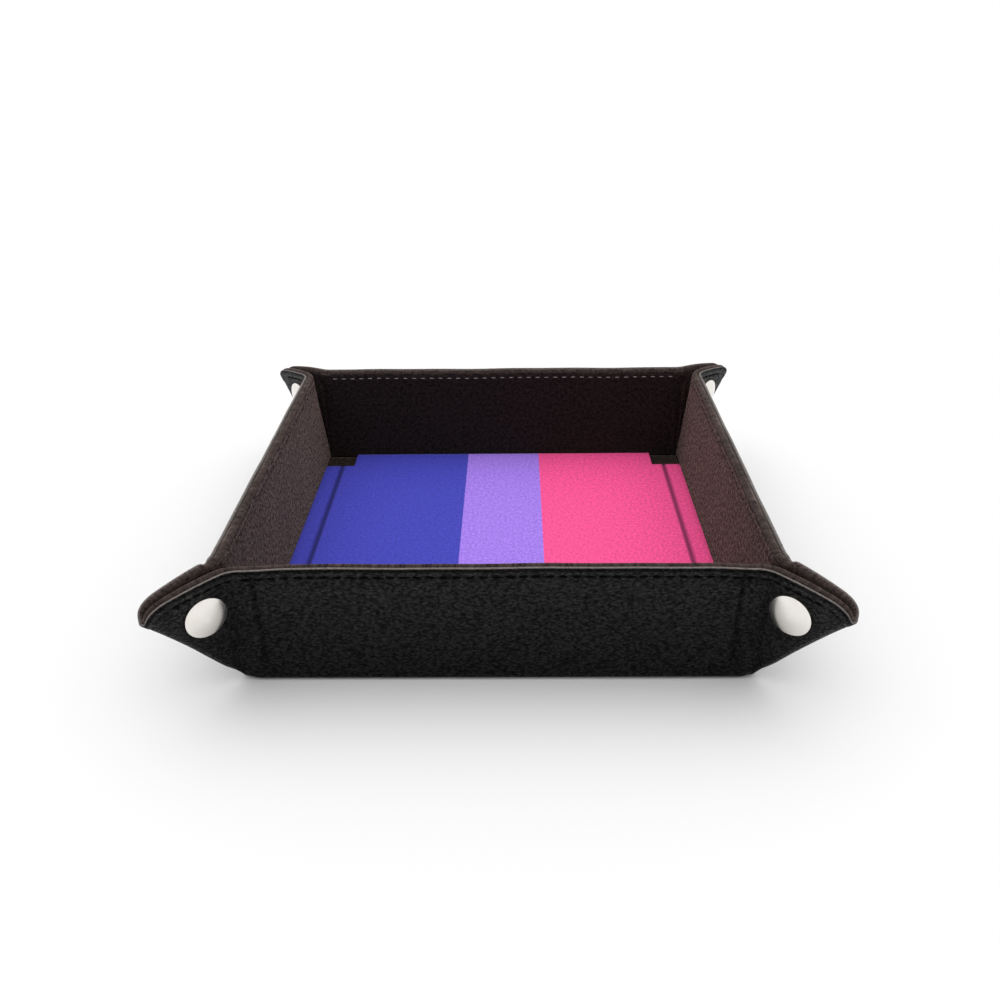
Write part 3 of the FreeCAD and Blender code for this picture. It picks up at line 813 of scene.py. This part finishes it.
def mat_top(bm):
    """The mat's top face, with its pressed grooves and corner notches."""
    notch, groove = MAT_HALF - MAT_NOTCH, MAT_HALF - MAT_GROOVE
    beside = np.array([0.28, 0.55, 0.85, 1.2, 1.6, 2.2])
    near = np.concatenate([-beside, [0.0], beside])
    even = np.concatenate([np.linspace(-MAT_HALF, MAT_HALF, 83), [-notch, notch]])
    xs = np.unique(np.round(np.concatenate([even, groove + near, -groove + near]), 3))
    ys = np.unique(np.round(even, 3))
    grid = {}

    def vertex(i, j):
        if (i, j) not in grid:
            x, y = xs[i], ys[j]
            dip = 0.60 * math.exp(-((abs(x) - groove) / 0.75) ** 2)
            rise = 0.12 * math.exp(-((abs(x) - groove) / 2.0) ** 2)
            z = MAT_TOP - dip + rise + 0.10 * float(unevenness(np.array([x * 1.2, y * 1.1])))
            grid[i, j] = bm.verts.new((x, y, z))
        return grid[i, j]

    for i in range(len(xs) - 1):
        for j in range(len(ys) - 1):
            if abs(xs[i] + xs[i + 1]) / 2 > notch and abs(ys[j] + ys[j + 1]) / 2 > notch:
                continue
            bm.faces.new((vertex(i, j), vertex(i + 1, j), vertex(i + 1, j + 1), vertex(i, j + 1)))


def outward_ways(rim):
    """The level direction out of the mat at each vertex of its rim."""
    outward = {}
    for edge in rim:
        middle = (edge.verts[0].co + edge.verts[1].co) / 2
        way = middle - edge.link_faces[0].calc_center_median()
        way.z = 0
        run = (edge.verts[1].co - edge.verts[0].co).normalized()
        way = way - run * way.dot(run)
        way = way.normalized() if way.length > 1e-6 else Vector((0, 0, 0))
        for v in edge.verts:
            outward[v] = outward.get(v, Vector((0, 0, 0))) + way
    return {v: way.normalized() for v, way in outward.items()}


def mat_edge(bm):
    """Rounds the mat's cut edge: two small steps out and down, then the side."""
    rim = [edge for edge in bm.edges if len(edge.link_faces) == 1]
    ways = outward_ways(rim)
    pairs = [tuple(edge.verts) for edge in rim]
    for lift, push in ((-0.12, 0.10), (-0.25, 0.08), (-0.80, 0.0)):
        lower = {v: bm.verts.new(v.co + way * push + Vector((0, 0, lift))) for v, way in ways.items()}
        for u, v in pairs:
            bm.faces.new((u, v, lower[v], lower[u]))
        ways = {lower[v]: way for v, way in ways.items()}
        pairs = [(lower[u], lower[v]) for u, v in pairs]


def make_mat():
    """The printed mat, which lies in the base."""
    bm = bmesh.new()
    layer = bm.loops.layers.uv.new("sheet")
    mat_top(bm)
    mat_edge(bm)
    for face in bm.faces:
        for loop in face.loops:
            loop[layer].uv = (loop.vert.co.x / SHEET_UV, loop.vert.co.y / SHEET_UV)
    bmesh.ops.recalc_face_normals(bm, faces=bm.faces)
    for v in bm.verts:
        v.co *= 0.001
    mesh = bpy.data.meshes.new("floor_mat_soft")
    bm.to_mesh(mesh)
    bm.free()
    mesh.shade_smooth()
    mesh.materials.append(MAT)
    mat = bpy.data.objects.new("floor_mat_soft", mesh)
    bpy.context.scene.collection.objects.link(mat)
    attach(mat, "tray_base")
    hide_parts("floor_mat")


make_underside()
make_base_lining()
make_mat()

# ---------------------------------------------------------------- carried-over parts

for name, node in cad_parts.items():
    if "snap" in name:
        material, slot_name = NICKEL, "nickel"
    elif name.endswith("_board"):
        material, slot_name = BOARD, "fibreboard"
    else:
        continue
    node.data.materials.clear()
    node.data.materials.append(material)

# ---------------------------------------------------------------- floor, light and camera

FLOOR_REACH, FLOOR_LEVEL = 40.0, -0.0002     # metres, as are the camera's places
SENSOR_WIDTH, FOCAL_SHARE = 36.0, 1.00076    # the focal length is this share of the sensor's width
CAMERA_PLACE = (0.00597, -0.34398, 0.19935)
PITCH, YAW, ROLL = 0.475910, -0.018113, -0.013821    # down, toward +X, and its right side up; radians


def make_floor():
    mesh = bpy.data.meshes.new("studio_floor")
    ways = ((-1, -1), (1, -1), (1, 1), (-1, 1))
    mesh.from_pydata([(x * FLOOR_REACH, y * FLOOR_REACH, FLOOR_LEVEL) for x, y in ways], [], [(0, 1, 2, 3)])
    floor = bpy.data.objects.new("studio_floor", mesh)
    bpy.context.scene.collection.objects.link(floor)
    material, _, shader = new_material("studio_white")
    shader.inputs["Base Color"].default_value = (0.625, 0.625, 0.625, 1)
    shader.inputs["Roughness"].default_value = 0.6
    shader.inputs["Specular IOR Level"].default_value = 0.1
    mesh.materials.append(material)


def make_light():
    """A white surround, dimmer toward the front and brightest overhead."""
    world = bpy.data.worlds.new("studio")
    bpy.context.scene.world = world
    world.use_nodes = True
    w = Nodes(world.node_tree)
    _, rearward, upward = w.split(w.add("ShaderNodeTexCoord").outputs["Generated"])
    around = w.ramp(rearward, -0.9, 0.6, 0.62, 1.0)
    horizon = w.ramp(upward, 0.12, 0.40, 1.0, 0.0)
    overhead = w.ramp(upward, 0.45, 1.0, 0.0, 1.8)
    background = world.node_tree.nodes["Background"]
    background.inputs["Color"].default_value = (1.0, 1.0, 1.0, 1)
    w.link(w.math("ADD", w.math("MAXIMUM", around, horizon), overhead), background.inputs["Strength"])


def make_camera():
    lens = bpy.data.cameras.new("photo_camera")
    lens.sensor_width = SENSOR_WIDTH
    lens.lens = SENSOR_WIDTH * FOCAL_SHARE
    lens.clip_start, lens.clip_end = 0.01, 50.0
    camera = bpy.data.objects.new("photo_camera", lens)
    bpy.context.scene.collection.objects.link(camera)
    ahead = np.array([math.sin(YAW) * math.cos(PITCH), math.cos(YAW) * math.cos(PITCH), -math.sin(PITCH)])
    level_right = np.array([math.cos(YAW), -math.sin(YAW), 0.0])
    level_above = np.cross(level_right, ahead)
    right = math.cos(ROLL) * level_right + math.sin(ROLL) * level_above
    above = math.cos(ROLL) * level_above - math.sin(ROLL) * level_right
    turn = Matrix([[right[k], above[k], -ahead[k]] for k in range(3)]).to_4x4()
    camera.matrix_world = Matrix.Translation(CAMERA_PLACE) @ turn
    bpy.context.scene.camera = camera


make_floor()
make_light()
make_camera()
bpy.context.scene.view_settings.view_transform = "Standard"
